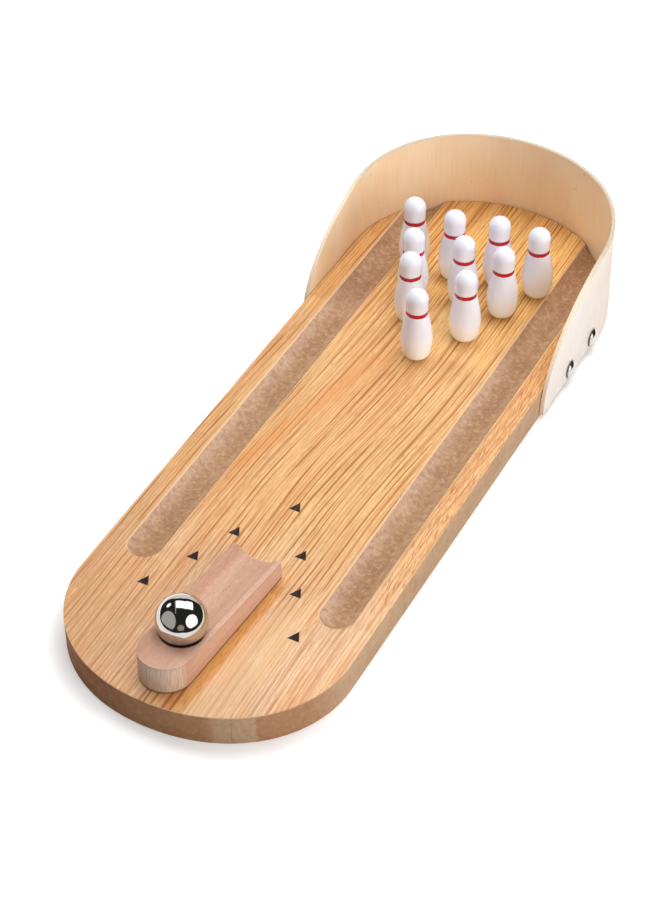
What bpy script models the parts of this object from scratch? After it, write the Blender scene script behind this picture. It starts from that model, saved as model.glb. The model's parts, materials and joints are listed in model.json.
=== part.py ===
"""Tabletop bowling game: a laminated board with two gutters, a bent backstop band, a swivelling launch
ramp with its steel ball, and ten turned pins.

Metres, +Z up. The underside of the board lies on Z = 0, the lane runs along +Y towards the pins, and the
origin is the middle of the game's footprint.
"""
import math

import bmesh
import bpy
import numpy as np
from mathutils import Matrix

# Fits
FIT_GAP = 0.0003
ROLLING_GAP = 0.0001
CUT_OVERRUN = 0.002

# Board
BOARD_WIDTH = 0.100
STRAIGHT_LENGTH = 0.1993
FRONT_DEPTH = 0.0442
REAR_DEPTH = 0.0466
CORE_THICKNESS = 0.01145
VENEER_THICKNESS = 0.0005
FRONT_FULLNESS = 2.1
REAR_FULLNESS = 2.0

# Gutters
GUTTER_WIDTH = 0.0130
GUTTER_DEPTH = 0.0030
GUTTER_EDGE_MARGIN = 0.0073
GUTTER_START = 0.0100

# Backstop band
BAND_THICKNESS = 0.0015
BAND_HALF_LENGTH = 0.1230
BAND_RISE = 0.0310
BAND_FOOT_RISE = 0.0020
BAND_SHIFT = 0.0050
BAND_TAPER_POWER = 3.5

# Dome nails that hold the band
NAIL_HEAD_RADIUS = 0.0035
NAIL_HEAD_RISE = 0.0019
NAIL_HEAD_RIM = 0.0003
NAIL_SHANK_RADIUS = 0.0008
NAIL_SHANK_LENGTH = 0.0100
NAIL_POINT_LENGTH = 0.0018
NAIL_END_MARGIN = 0.0236
NAIL_SPACING = 0.0206

# Launch ramp
RAMP_WIDTH = 0.0184
RAMP_LENGTH = 0.0628
RAMP_HIGH_END = 0.0112
RAMP_LOW_END = 0.0071
RAMP_EDGE_ROUND = 0.0003
RAMP_AXIS_SETBACK = 0.0139
RAMP_TURN_DEGREES = 3.3
GROOVE_DEPTH = 0.0034
GROOVE_EASE = 0.0011

# Ball
BALL_RADIUS = 0.0085
BALL_REACH = 0.00935

# Swivel screw of the ramp
SCREW_SHANK_RADIUS = 0.0015
SCREW_HEAD_RADIUS = 0.0030
SCREW_HEAD_HEIGHT = 0.0018
SCREW_HEAD_RECESS = 0.0006
SCREW_BITE = 0.0060
SCREW_POINT_LENGTH = 0.0012

# Pins
PIN_HEIGHT = 0.0298
PIN_BELLY_RADIUS = 0.0059
PIN_HEAD_RADIUS = 0.00415
PIN_NECK_RADIUS = 0.0040
PIN_RING_WIDTH = 0.0014
PIN_GAP_ACROSS = 0.0047
PIN_GAP_ALONG = 0.0053
HEAD_PIN_SETBACK = 0.0534

# The body of a pin, from the edge of its flat foot to below the neck: radius as a share of the belly's,
# and height as a share of the pin's
PIN_BODY_SHARES = (
    (0.56, 0.0),
    (0.77, 0.030),
    (0.90, 0.100),
    (1.00, 0.250),
    (0.94, 0.400),
    (0.83, 0.530),
    (0.73, 0.625),
)
PIN_NECK_HEIGHT_SHARE = 0.683

# Where the ten pins stand, set out by hand: across the lane in pin spacings from the middle, and along
# it in row spacings behind the head pin
PIN_PLACE_SHARES = (
    (0.08, 0.00),
    (-0.62, 1.07),
    (0.76, 1.02),
    (-0.94, 1.86),
    (0.19, 2.10),
    (1.15, 2.12),
    (-1.43, 2.89),
    (-0.41, 2.86),
    (0.59, 3.09),
    (1.56, 3.10),
)

# Facets
END_STEPS = 36
BIT_STEPS = 56
BALL_SEGMENTS = 32
PIN_STEPS = 20
NAIL_STEPS = 16
SCREW_STEPS = 20
BAND_COLUMNS = 80
PATH_SAMPLES = 2000
SMOOTH_ANGLE_DEGREES = 35.0
MERGE_SHARE = 0.1
MERGE_DISTANCE = FIT_GAP * MERGE_SHARE

# Worked out from the sizes above
BOARD_HALF_WIDTH = BOARD_WIDTH / 2
DECK_Z = CORE_THICKNESS + FIT_GAP + VENEER_THICKNESS
OVERALL_LENGTH = FRONT_DEPTH + STRAIGHT_LENGTH + REAR_DEPTH + FIT_GAP + BAND_THICKNESS
FRONT_TIP_Y = -OVERALL_LENGTH / 2
LANE_START_Y = FRONT_TIP_Y + FRONT_DEPTH
REAR_START_Y = LANE_START_Y + STRAIGHT_LENGTH
GUTTER_HALF_WIDTH = GUTTER_WIDTH / 2
GUTTER_RADIUS = (GUTTER_HALF_WIDTH ** 2 + GUTTER_DEPTH ** 2) / (2 * GUTTER_DEPTH)
GUTTER_X = BOARD_HALF_WIDTH - GUTTER_EDGE_MARGIN - GUTTER_HALF_WIDTH
RAMP_AXIS_Y = FRONT_TIP_Y + RAMP_AXIS_SETBACK
RAMP_HALF_WIDTH = RAMP_WIDTH / 2
RAMP_EXIT_REACH = RAMP_LENGTH - RAMP_HALF_WIDTH
RAMP_SLOPE = (RAMP_HIGH_END - RAMP_LOW_END) / RAMP_LENGTH
RAMP_SLOPE_ANGLE = math.atan(RAMP_SLOPE)
GROOVE_RADIUS = BALL_RADIUS + GROOVE_EASE
PIN_SPACING = 2 * PIN_BELLY_RADIUS + PIN_GAP_ACROSS
PIN_ROW_SPACING = 2 * PIN_BELLY_RADIUS + PIN_GAP_ALONG
PIN_NECK_HEIGHT = PIN_HEIGHT * PIN_NECK_HEIGHT_SHARE

# Colours as red, green and blue, with roughness and metallic value
OAK = ((0.78, 0.50, 0.25), 0.38, 0.0)
FIBREBOARD = ((0.50, 0.34, 0.20), 0.75, 0.0)
BIRCH = ((0.80, 0.62, 0.42), 0.50, 0.0)
BEECH = ((0.66, 0.42, 0.30), 0.50, 0.0)
WHITE_PAINT = ((0.86, 0.84, 0.83), 0.30, 0.0)
CHROME = ((0.80, 0.80, 0.80), 0.10, 1.0)
ZINC = ((0.60, 0.60, 0.62), 0.30, 1.0)

for old_object in list(bpy.data.objects):
    bpy.data.objects.remove(old_object, do_unlink=True)


def new_collection(name):
    collection = bpy.data.collections.new(name)
    bpy.context.scene.collection.children.link(collection)
    return collection


GAME = new_collection("tabletop_bowling_game")
CUTTERS = new_collection("cutters")


def make_material(name, finish):
    colour, roughness, metallic = finish
    material = bpy.data.materials.new(name)
    material.use_nodes = True
    shader = material.node_tree.nodes["Principled BSDF"]
    shader.inputs["Base Color"].default_value = (*colour, 1.0)
    shader.inputs["Roughness"].default_value = roughness
    shader.inputs["Metallic"].default_value = metallic
    material.diffuse_color = (*colour, 1.0)
    return material


def add_object(name, mesh, collection, parent=None):
    thing = bpy.data.objects.new(name, mesh)
    collection.objects.link(thing)
    thing.parent = parent
    return thing


def add_axis(name, location, turn=0.0):
    """An empty on a joint's axis, for the pieces that move about it."""
    empty = add_object(name, None, GAME)
    empty.location = location
    empty.rotation_euler = (0.0, 0.0, turn)
    return empty


def set_smooth(mesh):
    mesh.shade_smooth()
    mesh.set_sharp_from_angle(angle=math.radians(SMOOTH_ANGLE_DEGREES))


def profile_mesh(name, points):
    """An open line of (radius, height) points, from the top down, for a Screw modifier."""
    mesh = bpy.data.meshes.new(name)
    edges = [(i, i + 1) for i in range(len(points) - 1)]
    mesh.from_pydata([(radius, 0.0, height) for radius, height in points], edges, [])
    return mesh


def spin(thing, steps):
    """Turn an object's profile once around its own Z axis."""
    screw = thing.modifiers.new("Turn", "SCREW")
    screw.axis = "Z"
    screw.angle = math.tau
    screw.steps = steps
    screw.render_steps = steps
    screw.use_merge_vertices = True
    screw.merge_threshold = MERGE_DISTANCE
    screw.use_smooth_shade = True
    return screw


def arc(centre_radius, centre_height, radius, start_degrees, end_degrees, steps):
    """Points of a round stretch of a profile, from one angle above the level to another."""
    angles = np.radians(np.linspace(start_degrees, end_degrees, steps + 1))
    return [(centre_radius + radius * math.cos(a), centre_height + radius * math.sin(a)) for a in angles]


def on_axis(points):
    """A profile with its ends put exactly on the axis."""
    return [(0.0, points[0][1])] + points[1:-1] + [(0.0, points[-1][1])]


def outline_solid(name, points, thickness, collection, parent=None):
    """A flat outline, filled and extruded upwards from Z = 0, as a closed mesh with one face a cap."""
    curve = bpy.data.curves.new(name, "CURVE")
    curve.dimensions = "2D"
    curve.fill_mode = "BOTH"
    curve.extrude = thickness / 2
    spline = curve.splines.new("POLY")
    spline.points.add(len(points) - 1)
    for point, (x, y) in zip(spline.points, points):
        point.co = (x, y, 0.0, 1.0)
    spline.use_cyclic_u = True
    guide = add_object(name + "_outline", curve, collection)
    bpy.context.view_layer.update()
    mesh = bpy.data.meshes.new_from_object(guide.evaluated_get(bpy.context.evaluated_depsgraph_get()))
    mesh.name = name
    bpy.data.objects.remove(guide, do_unlink=True)
    shape = bmesh.new()
    shape.from_mesh(mesh)
    bmesh.ops.remove_doubles(shape, verts=shape.verts, dist=MERGE_DISTANCE)
    bmesh.ops.dissolve_limit(shape, angle_limit=math.radians(1.0), verts=shape.verts, edges=shape.edges,
                             delimit={"NORMAL"})
    bmesh.ops.translate(shape, verts=shape.verts, vec=(0.0, 0.0, thickness / 2))
    bmesh.ops.recalc_face_normals(shape, faces=shape.faces)
    shape.to_mesh(mesh)
    shape.free()
    mesh.materials.clear()
    set_smooth(mesh)
    return add_object(name, mesh, collection, parent)


def hide_cutter(cutter):
    cutter.hide_render = True
    cutter.display_type = "WIRE"


def cylinder_cutter(name, radius, length, parent=None):
    """A straight drill along its own Z axis, from Z = 0 upwards."""
    shape = bmesh.new()
    bmesh.ops.create_cone(shape, cap_ends=True, segments=SCREW_STEPS, radius1=radius, radius2=radius,
                          depth=length, matrix=Matrix.Translation((0.0, 0.0, length / 2)))
    mesh = bpy.data.meshes.new(name)
    shape.to_mesh(mesh)
    shape.free()
    cutter = add_object(name, mesh, CUTTERS, parent)
    hide_cutter(cutter)
    return cutter


def round_nosed_bit(name, radius, length, parent=None):
    """A router bit on its own Z axis, with its round nose centred on Z = 0 and pointing down."""
    points = [(0.0, length), (radius, length)]
    points += arc(0.0, 0.0, radius, 0.0, -90.0, BIT_STEPS // 4)
    bit = add_object(name, profile_mesh(name, on_axis(points)), CUTTERS, parent)
    spin(bit, BIT_STEPS)
    hide_cutter(bit)
    return bit


def cut(thing, cutter):
    boolean = thing.modifiers.new("Cut by " + cutter.name, "BOOLEAN")
    boolean.operation = "DIFFERENCE"
    boolean.solver = "EXACT"
    boolean.object = cutter


def rounded_end(depth, fullness, sign):
    """One end of the board as a superellipse, from the +X side to the -X side for the rear (sign 1), and
    from the -X side to the +X side for the front (sign -1)."""
    points = []
    for i in range(END_STEPS + 1):
        angle = math.pi * i / END_STEPS
        across = math.cos(angle)
        along = math.sin(angle)
        x = sign * math.copysign(abs(across) ** (2 / fullness), across) * BOARD_HALF_WIDTH
        y = sign * along ** (2 / fullness) * depth
        points.append((x, y))
    return points


def board_outline():
    rear = [(x, REAR_START_Y + y) for x, y in rounded_end(REAR_DEPTH, REAR_FULLNESS, 1)]
    front = [(x, LANE_START_Y + y) for x, y in rounded_end(FRONT_DEPTH, FRONT_FULLNESS, -1)]
    return rear + front


def rear_path():
    """The board's edge from one side, round the rear, to the other: points, outward normals and the
    distance of each along the edge from the middle of the rear, positive towards +X."""
    side = np.linspace(0.0, 1.0, PATH_SAMPLES)
    right = np.column_stack((np.full(PATH_SAMPLES, BOARD_HALF_WIDTH), LANE_START_Y + side * STRAIGHT_LENGTH))
    angles = np.linspace(0.0, math.pi, PATH_SAMPLES)
    across = np.sign(np.cos(angles)) * np.abs(np.cos(angles)) ** (2 / REAR_FULLNESS)
    along = np.sin(angles) ** (2 / REAR_FULLNESS)
    rear = np.column_stack((across * BOARD_HALF_WIDTH, REAR_START_Y + along * REAR_DEPTH))
    left = right[::-1] * np.array((-1.0, 1.0))
    points = np.vstack((right[:-1], rear, left[1:]))
    tangents = np.gradient(points, axis=0)
    tangents /= np.linalg.norm(tangents, axis=1)[:, None]
    normals = np.column_stack((tangents[:, 1], -tangents[:, 0]))
    lengths = np.concatenate(([0.0], np.cumsum(np.linalg.norm(np.diff(points, axis=0), axis=1))))
    return points, normals, lengths[-1] / 2 - lengths


def make_gutter_bits():
    bits = []
    length = STRAIGHT_LENGTH + REAR_DEPTH
    for side, x in (("left", -GUTTER_X), ("right", GUTTER_X)):
        bit = round_nosed_bit("gutter_bit_" + side, GUTTER_RADIUS, length)
        nose_y = LANE_START_Y + GUTTER_START + GUTTER_HALF_WIDTH
        bit.location = (x, nose_y, DECK_Z - GUTTER_DEPTH + GUTTER_RADIUS)
        bit.rotation_euler = (math.radians(-90.0), 0.0, 0.0)
        bits.append(bit)
    return bits


def make_swivel_drills():
    """The counterbore and the clearance hole under the ramp's axis, both drilled from below."""
    recess = SCREW_HEAD_RECESS + SCREW_HEAD_HEIGHT + FIT_GAP
    counterbore = cylinder_cutter("counterbore", SCREW_HEAD_RADIUS + FIT_GAP, recess + CUT_OVERRUN)
    counterbore.location = (0.0, RAMP_AXIS_Y, -CUT_OVERRUN)
    clearance = cylinder_cutter("swivel_hole", SCREW_SHANK_RADIUS + FIT_GAP, DECK_Z + 2 * CUT_OVERRUN)
    clearance.location = (0.0, RAMP_AXIS_Y, -CUT_OVERRUN)
    return counterbore, clearance


def nail_places():
    """Name, side of the board and place along it for each nail, set in from its own end of the band."""
    points, normals, distances = rear_path()
    for side_name, side in (("right", 1), ("left", -1)):
        end = side * BAND_HALF_LENGTH + BAND_SHIFT
        end_y = np.interp(-end, -distances, points[:, 1])
        yield "band_nail_" + side_name + "_front", side, end_y + NAIL_END_MARGIN
        yield "band_nail_" + side_name + "_rear", side, end_y + NAIL_END_MARGIN + NAIL_SPACING


def nail_matrix(side, y, x):
    """Own Z axis outwards, across the board's edge, halfway up its thickness."""
    turn = Matrix.Rotation(side * math.radians(90.0), 4, "Y")
    return Matrix.Translation((side * x, y, DECK_Z / 2)) @ turn


def make_nail_drills():
    drills = []
    hole_bottom = BOARD_HALF_WIDTH - (NAIL_SHANK_LENGTH - BAND_THICKNESS)
    length = BOARD_HALF_WIDTH + FIT_GAP + BAND_THICKNESS + CUT_OVERRUN - hole_bottom
    for name, side, y in nail_places():
        drill = cylinder_cutter(name + "_hole", NAIL_SHANK_RADIUS + FIT_GAP, length)
        drill.matrix_world = nail_matrix(side, y, hole_bottom)
        drills.append(drill)
    return drills


def make_base_board(gutter_bits, swivel_drills, nail_drills):
    board = outline_solid("base_board", board_outline(), CORE_THICKNESS, GAME)
    for cutter in (*gutter_bits, *swivel_drills, *nail_drills):
        cut(board, cutter)
    board.data.materials.append(make_material("fibreboard", FIBREBOARD))
    return board


def make_lane_veneer(gutter_bits, clearance_drill):
    veneer = outline_solid("lane_veneer", board_outline(), VENEER_THICKNESS, GAME)
    veneer.location.z = CORE_THICKNESS + FIT_GAP
    for cutter in (*gutter_bits, clearance_drill):
        cut(veneer, cutter)
    veneer.data.materials.append(make_material("oak_laminate", OAK))
    return veneer


def make_backstop_band(nail_drills):
    """A thin strip with rounded, tapering ends, wrapped round the rear of the board. It sits a little
    further round on the +X side, as the shift says."""
    points, normals, distances = rear_path()
    foot_z = BAND_FOOT_RISE
    height = DECK_Z + BAND_RISE - foot_z
    shape = bmesh.new()
    columns = []
    for i in range(BAND_COLUMNS + 1):
        share = math.sin(math.pi / 2 * (2 * i / BAND_COLUMNS - 1))
        distance = BAND_SHIFT - share * BAND_HALF_LENGTH
        x, y = (np.interp(-distance, -distances, points[:, k]) for k in (0, 1))
        nx, ny = (np.interp(-distance, -distances, normals[:, k]) for k in (0, 1))
        x += nx * FIT_GAP
        y += ny * FIT_GAP
        top_z = foot_z + height * math.sqrt(max(0.0, 1 - abs(share) ** BAND_TAPER_POWER))
        columns.append([shape.verts.new((x, y, z)) for z in (foot_z, top_z)])
    for (foot_a, top_a), (foot_b, top_b) in zip(columns, columns[1:]):
        shape.faces.new((foot_a, foot_b, top_b, top_a))
    bmesh.ops.remove_doubles(shape, verts=shape.verts, dist=MERGE_DISTANCE)
    mesh = bpy.data.meshes.new("backstop_band")
    shape.to_mesh(mesh)
    shape.free()
    set_smooth(mesh)
    band = add_object("backstop_band", mesh, GAME)
    wall = band.modifiers.new("Wall", "SOLIDIFY")
    wall.thickness = BAND_THICKNESS
    wall.offset = 1.0
    wall.use_even_offset = True
    for drill in nail_drills:
        cut(band, drill)
    mesh.materials.append(make_material("birch_ply", BIRCH))
    return band


def nail_profile():
    """A shallow dome with a thin rim, and a straight shank with a drawn point, from the top down."""
    dome_rise = NAIL_HEAD_RISE - NAIL_HEAD_RIM
    dome_radius = (NAIL_HEAD_RADIUS ** 2 + dome_rise ** 2) / (2 * dome_rise)
    edge_degrees = math.degrees(math.asin((dome_radius - dome_rise) / dome_radius))
    points = arc(0.0, NAIL_HEAD_RISE - dome_radius, dome_radius, 90.0, edge_degrees, NAIL_STEPS // 3)
    points += [(NAIL_HEAD_RADIUS, 0.0), (NAIL_SHANK_RADIUS, 0.0)]
    points += [(NAIL_SHANK_RADIUS, NAIL_POINT_LENGTH - NAIL_SHANK_LENGTH), (0.0, -NAIL_SHANK_LENGTH)]
    return on_axis(points)


def make_nails():
    mesh = profile_mesh("band_nail", nail_profile())
    mesh.materials.append(make_material("chrome", CHROME))
    seat_x = BOARD_HALF_WIDTH + FIT_GAP + BAND_THICKNESS + FIT_GAP
    for name, side, y in nail_places():
        nail = add_object(name, mesh, GAME)
        spin(nail, NAIL_STEPS)
        nail.matrix_world = nail_matrix(side, y, seat_x)


def ramp_top(reach):
    """Height of the ramp's sloping top above its underside, at a distance from the swivel axis."""
    return RAMP_LOW_END + (RAMP_EXIT_REACH - reach) * RAMP_SLOPE


def ball_height():
    """Height of the ball's centre above the ramp's underside, when the ball runs in the groove."""
    above_top = (BALL_RADIUS + ROLLING_GAP - GROOVE_DEPTH) / math.cos(RAMP_SLOPE_ANGLE)
    return ramp_top(BALL_REACH) + above_top


def ramp_outline():
    """Round at the player's end, square at the exit. The swivel axis is the centre of the round end."""
    points = [(RAMP_HALF_WIDTH, RAMP_EXIT_REACH), (-RAMP_HALF_WIDTH, RAMP_EXIT_REACH)]
    points += arc(0.0, 0.0, RAMP_HALF_WIDTH, 180.0, 360.0, END_STEPS)
    return points


def make_launch_ramp(axis):
    ramp = outline_solid("launch_ramp", ramp_outline(), RAMP_HIGH_END, GAME, axis)
    middle_z = RAMP_HIGH_END / 2
    for vertex in ramp.data.vertices:
        if vertex.co.z > middle_z:
            vertex.co.z = ramp_top(vertex.co.y)
    rounding = ramp.modifiers.new("Eased edges", "BEVEL")
    rounding.width = RAMP_EDGE_ROUND
    rounding.segments = 2
    rounding.limit_method = "ANGLE"
    rounding.angle_limit = math.radians(SMOOTH_ANGLE_DEGREES)

    groove = round_nosed_bit("ramp_groove_bit", GROOVE_RADIUS, RAMP_LENGTH + CUT_OVERRUN, axis)
    above_top = (GROOVE_RADIUS - GROOVE_DEPTH) / math.cos(RAMP_SLOPE_ANGLE)
    groove.location = (0.0, BALL_REACH, ramp_top(BALL_REACH) + above_top)
    groove.rotation_euler = (math.radians(-90.0) - RAMP_SLOPE_ANGLE, 0.0, 0.0)
    cut(ramp, groove)

    shape = bmesh.new()
    bmesh.ops.create_uvsphere(shape, u_segments=BIT_STEPS, v_segments=BIT_STEPS // 2,
                              radius=BALL_RADIUS + FIT_GAP)
    mesh = bpy.data.meshes.new("ball_seat")
    shape.to_mesh(mesh)
    shape.free()
    seat = add_object("ball_seat", mesh, CUTTERS, axis)
    hide_cutter(seat)
    seat.location = (0.0, BALL_REACH, ball_height())
    cut(ramp, seat)

    pilot = cylinder_cutter("ramp_pilot_hole", SCREW_SHANK_RADIUS + FIT_GAP,
                            SCREW_BITE + FIT_GAP + CUT_OVERRUN, axis)
    pilot.location.z = -CUT_OVERRUN
    cut(ramp, pilot)
    ramp.data.materials.append(make_material("beech", BEECH))
    return ramp


def make_pivot_screw(axis):
    """A round-headed wood screw, up through the board into the ramp, with its own top at the point."""
    head_z = SCREW_HEAD_RECESS - DECK_Z - FIT_GAP
    shank_z = head_z + SCREW_HEAD_HEIGHT
    tip_z = SCREW_BITE
    points = [(0.0, tip_z), (SCREW_SHANK_RADIUS, tip_z - SCREW_POINT_LENGTH), (SCREW_SHANK_RADIUS, shank_z)]
    points += [(SCREW_HEAD_RADIUS, shank_z)]
    edge = SCREW_HEAD_HEIGHT / 2
    points += arc(SCREW_HEAD_RADIUS - edge, head_z + edge, edge, 0.0, -90.0, SCREW_STEPS // 4)
    points += [(0.0, head_z)]
    screw = add_object("ramp_pivot_screw", profile_mesh("ramp_pivot_screw", points), GAME, axis)
    spin(screw, SCREW_STEPS)
    screw.data.materials.append(make_material("zinc_steel", ZINC))
    return screw


def make_ball(axis):
    shape = bmesh.new()
    bmesh.ops.create_uvsphere(shape, u_segments=BALL_SEGMENTS, v_segments=BALL_SEGMENTS // 2,
                              radius=BALL_RADIUS)
    mesh = bpy.data.meshes.new("steel_ball")
    shape.to_mesh(mesh)
    shape.free()
    mesh.shade_smooth()
    mesh.materials.append(make_material("polished_steel", CHROME))
    ball = add_object("steel_ball", mesh, GAME, axis)
    ball.location = (0.0, BALL_REACH, ball_height())
    return ball


def pin_profile():
    """From the top of the domed head, down over the neck and the belly, to the flat foot."""
    dome_z = PIN_HEIGHT - PIN_HEAD_RADIUS
    dome = arc(0.0, dome_z, PIN_HEAD_RADIUS, 90.0, 0.0, PIN_STEPS // 4)
    half_ring = PIN_RING_WIDTH / 2
    knots = [(PIN_HEAD_RADIUS, dome_z), (PIN_NECK_RADIUS, PIN_NECK_HEIGHT + half_ring)]
    knots += [(PIN_NECK_RADIUS, PIN_NECK_HEIGHT - half_ring)]
    body = [(r * PIN_BELLY_RADIUS, h * PIN_HEIGHT) for r, h in reversed(PIN_BODY_SHARES)]
    return on_axis(dome[:-1] + knots + body + [(0.0, 0.0)])


def make_pins():
    mesh = profile_mesh("bowling_pin", pin_profile())
    mesh.materials.append(make_material("white_paint", WHITE_PAINT))
    head_pin_y = REAR_START_Y - HEAD_PIN_SETBACK
    for number, (across, along) in enumerate(PIN_PLACE_SHARES, start=1):
        pin = add_object("pin_" + str(number), mesh, GAME)
        pin.location = (across * PIN_SPACING, head_pin_y + along * PIN_ROW_SPACING, DECK_Z + FIT_GAP)
        spin(pin, PIN_STEPS)


def build_game():
    gutter_bits = make_gutter_bits()
    swivel_drills = make_swivel_drills()
    nail_drills = make_nail_drills()
    make_base_board(gutter_bits, swivel_drills, nail_drills)
    make_lane_veneer(gutter_bits, swivel_drills[1])
    make_backstop_band(nail_drills)
    make_nails()
    turn = math.radians(-RAMP_TURN_DEGREES)
    ramp_axis = add_axis("ramp_axis", (0.0, RAMP_AXIS_Y, DECK_Z + FIT_GAP), turn)
    make_launch_ramp(ramp_axis)
    make_pivot_screw(ramp_axis)
    make_ball(ramp_axis)
    make_pins()


build_game()
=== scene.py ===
"""Looks for the tabletop bowling game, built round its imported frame.

Metres, +Z up, +Y along the lane towards the pins, +X to the player's right. Inside the materials, lengths
are millimetres of the piece's own coordinates, and colours are red, green and blue from 0 to 255.
"""
import json
import math

import bmesh
import bpy
import numpy as np
from mathutils import Matrix, Vector


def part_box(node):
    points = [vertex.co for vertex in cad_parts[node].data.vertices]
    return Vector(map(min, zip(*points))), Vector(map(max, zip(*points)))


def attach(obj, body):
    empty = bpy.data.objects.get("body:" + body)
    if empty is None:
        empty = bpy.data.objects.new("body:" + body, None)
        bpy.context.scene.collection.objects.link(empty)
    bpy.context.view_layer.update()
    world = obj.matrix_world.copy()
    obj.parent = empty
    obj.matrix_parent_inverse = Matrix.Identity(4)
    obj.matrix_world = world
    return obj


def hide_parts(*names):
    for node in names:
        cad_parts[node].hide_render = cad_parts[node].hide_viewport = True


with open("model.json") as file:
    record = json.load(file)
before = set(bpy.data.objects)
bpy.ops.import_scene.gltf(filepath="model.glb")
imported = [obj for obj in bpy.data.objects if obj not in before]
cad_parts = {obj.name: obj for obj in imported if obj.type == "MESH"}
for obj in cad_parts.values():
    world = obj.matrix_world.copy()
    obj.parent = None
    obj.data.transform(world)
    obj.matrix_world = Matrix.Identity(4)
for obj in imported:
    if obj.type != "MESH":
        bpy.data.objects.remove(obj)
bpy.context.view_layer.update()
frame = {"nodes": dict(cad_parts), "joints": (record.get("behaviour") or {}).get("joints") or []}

# Places read from the frame
BOARD_LOW, BOARD_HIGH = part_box("base_board")
DECK_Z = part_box("lane_veneer")[1].z
BAND_LOW, BAND_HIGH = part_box("backstop_band")
BALL_LOW, BALL_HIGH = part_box("steel_ball")
SCREW_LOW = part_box("ramp_pivot_screw")[0]
JOINTS = {joint["name"]: joint for joint in frame["joints"]}
RAMP_AXIS = Vector(JOINTS["ramp_swivel"]["pos_m"])
BALL_RUN = Vector(JOINTS["ball_run"]["axis"])

# Millimetres in a metre
MM = 1000.0

# Board, in metres
FIT_GAP = 0.0003
BOARD_HALF_WIDTH = BOARD_HIGH.x
FRONT_DEPTH = 0.0442
REAR_DEPTH = 0.0466
FRONT_FULLNESS = 2.1
REAR_FULLNESS = 2.0
VENEER_THICKNESS = 0.0005
VENEER_Z = DECK_Z - VENEER_THICKNESS
BOARD_EDGE_ROUND = 0.0004
VENEER_EDGE_ROUND = 0.00012
VENEER_EDGE_SHARES = ((1.0, 0.0), (0.3, 0.3), (0.0, 1.0))
LANE_START_Y = BOARD_LOW.y + FRONT_DEPTH
REAR_START_Y = BOARD_HIGH.y - REAR_DEPTH

# Gutters
GUTTER_HALF_WIDTH = 0.0065
GUTTER_DEPTH = 0.0030
GUTTER_X = 0.0362
GUTTER_START = 0.0100
GUTTER_RADIUS = (GUTTER_HALF_WIDTH ** 2 + GUTTER_DEPTH ** 2) / (2 * GUTTER_DEPTH)
GUTTER_NOSE_Y = LANE_START_Y + GUTTER_START + GUTTER_HALF_WIDTH

# Backstop band
BAND_THICKNESS = 0.0015
BAND_HALF_LENGTH = 0.1230
BAND_SHIFT = 0.0050
BAND_TAPER_POWER = 3.5
BAND_EDGE_ROUND = 0.00022

# Dome nails
NAIL_HEAD_RADIUS = 0.0035
NAIL_HEAD_RISE = 0.0019
NAIL_HEAD_RIM = 0.0003
NAIL_SHANK_RADIUS = 0.0008
NAIL_SHANK_LENGTH = 0.0100
NAIL_POINT_LENGTH = 0.0018

# Launch ramp
RAMP_HALF_WIDTH = 0.0092
RAMP_EXIT_REACH = 0.0536
RAMP_LOW_END = 0.0071
RAMP_EDGE_ROUND = 0.00035
RAMP_STAND = DECK_Z + FIT_GAP
RAMP_TURN = -math.atan2(BALL_RUN.x, BALL_RUN.y)
RAMP_SLOPE_ANGLE = math.asin(-BALL_RUN.z)
GROOVE_RADIUS = 0.0096
GROOVE_DEPTH = 0.0034

# Ball and swivel screw
BALL_RADIUS = (BALL_HIGH.z - BALL_LOW.z) / 2
BALL_PLACE = (BALL_LOW + BALL_HIGH) / 2
SCREW_SHANK_RADIUS = 0.0015
SCREW_HEAD_RADIUS = 0.0030
SCREW_HEAD_HEIGHT = 0.0018
SCREW_BITE = 0.0060
SCREW_POINT_LENGTH = 0.0012
SCREW_CROSS_HALF_WIDTH = 0.00035
SCREW_CROSS_REACH = 0.0016
SCREW_CROSS_DEPTH = 0.0010
SCREW_CROSS_TAPER = 0.45

# Pins. Each is turned on its foot, so that no two show the same side of the paint
PIN_COUNT = 10
PIN_TURN_DEGREES = 137.5
PIN_BELLY_RADIUS = 0.0059
PIN_HEAD_RADIUS = 0.00415
PIN_NECK_RADIUS = 0.0040
PIN_RING_WIDTH = 0.0014
PIN_FOOT_ROUND = 0.00025
PIN_NECK_HEIGHT_SHARE = 0.683
# The radius as a share of the belly's, and the height as a share of the pin's
PIN_BODY_SHARES = (
    (0.56, 0.0), (0.77, 0.030), (0.90, 0.100), (1.00, 0.250), (0.94, 0.400), (0.83, 0.530), (0.73, 0.625),
)

# Facets
END_STEPS = 120
SIDE_PATH_POINTS = 960
REAR_PATH_POINTS = 1920
BIT_STEPS = 192
BAND_COLUMNS = 260
EDGE_STEPS = 3
LATHE_STEPS = 72
BALL_STEPS = 96
CURVE_STEPS = 5
NAIL_DOME_STEPS = 14
NAIL_RIM_STEPS = 4
SCREW_HEAD_STEPS = 10
PIN_DOME_STEPS = 18
RAMP_EDGE_STEPS = 3
SMOOTH_ANGLE = math.radians(32.0)
MERGE_DISTANCE = 0.000002
CUT_OVERRUN = 0.002

# From here on in millimetres. A span is where a tone or a pattern starts and where it is full.
# The printed marks stand on both sides of their middle line
MARK_MIDDLE = 0.65
MARK_PLACES = ((28.05, -100.45), (19.35, -83.0), (12.65, -66.8), (0.0, -47.15))
MARK_HALF_WIDTH = 2.15
MARK_HEIGHT = 4.3
MARK_TIP = 2.8
MARK_EDGE = 0.08

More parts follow.
